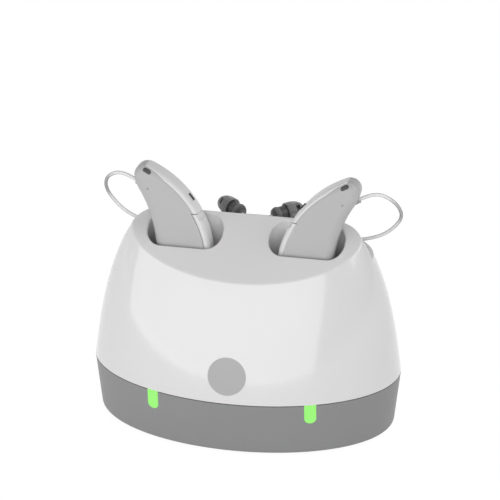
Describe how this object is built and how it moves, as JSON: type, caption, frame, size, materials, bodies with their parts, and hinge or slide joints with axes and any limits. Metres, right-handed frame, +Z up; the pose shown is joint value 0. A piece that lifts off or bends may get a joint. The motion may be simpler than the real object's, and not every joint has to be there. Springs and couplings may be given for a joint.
{
  "type": "hearing aid charger",
  "caption": "Oval desktop charger whose slanted top holds a pair of behind-the-ear hearing aids with receiver wires, with lit windows in its base.",
  "frame": {"origin": "on the table under the middle of the oval base", "axes": "+X towards the right as seen from the front, -Y out of the front with the badge, +Z up"},
  "size_m": [0.08, 0.0496, 0.0692],
  "materials": {
    "shell_white": "satin moulded",
    "base_grey": "fine moulded texture",
    "badge_grey": "satin",
    "window_green": "translucent, lit",
    "lamp_clear": "clear moulded",
    "board_green": "solder mask",
    "chip_black": "moulded",
    "screw_steel": "zinc plated",
    "socket_steel": "drawn",
    "foot_rubber": "moulded",
    "ballast_steel": "pressed",
    "seat_rubber": "soft moulded",
    "coil_copper": "enamelled winding",
    "ferrite_dark": "sintered",
    "holder_plastic": "moulded",
    "flex_amber": "film",
    "aid_grey": "satin painted",
    "aid_silver": "satin painted",
    "mic_mesh": "woven screen",
    "battery_steel": "drawn can",
    "aid_trim": "moulded",
    "plug_clear": "moulded",
    "wire_clear": "clear sheath",
    "receiver_grey": "moulded",
    "dome_silicone": "translucent silicone"
  },
  "bodies": {
    "charger": {"base_shell": "base_grey", "upper_shell": "shell_white", "front_badge": "badge_grey", "status_lamps": "lamp_clear", "main_board": "board_green", "board_screws": "screw_steel", "board_chips": "chip_black", "usb_socket": "socket_steel", "case_screws": "screw_steel", "rubber_feet": "foot_rubber", "ballast_plate": "ballast_steel", "flex_plugs": "chip_black", "left_light_window": "window_green", "right_light_window": "window_green", "left_well_seat": "seat_rubber", "right_well_seat": "seat_rubber", "left_charge_coil": "coil_copper", "right_charge_coil": "coil_copper", "left_ferrite_disc": "ferrite_dark", "right_ferrite_disc": "ferrite_dark", "left_coil_holder": "holder_plastic", "right_coil_holder": "holder_plastic", "left_coil_flex": "flex_amber", "right_coil_flex": "flex_amber"},
    "left_aid": {"left_aid_body": "aid_grey", "left_aid_cover": "aid_silver", "left_aid_mic_screen": "mic_mesh", "left_aid_rocker_pin": "screw_steel", "left_aid_battery": "battery_steel", "left_aid_coil": "coil_copper", "left_aid_board": "board_green", "left_aid_chips": "chip_black", "left_aid_tip_pin": "aid_trim", "left_aid_side_pin": "aid_trim", "left_wire_plug": "plug_clear", "left_receiver_wire": "wire_clear", "left_receiver": "receiver_grey", "left_ear_dome": "dome_silicone"},
    "left_rocker": {"left_aid_rocker": "aid_silver"},
    "right_aid": {"right_aid_body": "aid_grey", "right_aid_cover": "aid_silver", "right_aid_mic_screen": "mic_mesh", "right_aid_rocker_pin": "screw_steel", "right_aid_battery": "battery_steel", "right_aid_coil": "coil_copper", "right_aid_board": "board_green", "right_aid_chips": "chip_black", "right_aid_tip_pin": "aid_trim", "right_aid_side_pin": "aid_trim", "right_wire_plug": "plug_clear", "right_receiver_wire": "wire_clear", "right_receiver": "receiver_grey", "right_ear_dome": "dome_silicone"},
    "right_rocker": {"right_aid_rocker": "aid_silver"}
  },
  "joints": [
    {"name": "left_aid_lift", "type": "slide", "parent": "charger", "child": "left_aid", "axis": [0, 0.1392, 0.9903], "range_m": [0, 0.03]},
    {"name": "right_aid_lift", "type": "slide", "parent": "charger", "child": "right_aid", "axis": [0, 0.1392, 0.9903], "range_m": [0, 0.03]},
    {"name": "left_rocker_tilt", "type": "hinge", "parent": "left_aid", "child": "left_rocker", "pos_m": [-0.0114, -0.00214, 0.0503], "axis": [0, -0.9903, 0.1392], "range_deg": [-2.5, 2.5], "stiffness_Nm_per_rad": 0.02},
    {"name": "right_rocker_tilt", "type": "hinge", "parent": "right_aid", "child": "right_rocker", "pos_m": [0.0114, -0.00214, 0.0503], "axis": [0, -0.9903, 0.1392], "range_deg": [-2.5, 2.5], "stiffness_Nm_per_rad": 0.02}
  ]
}
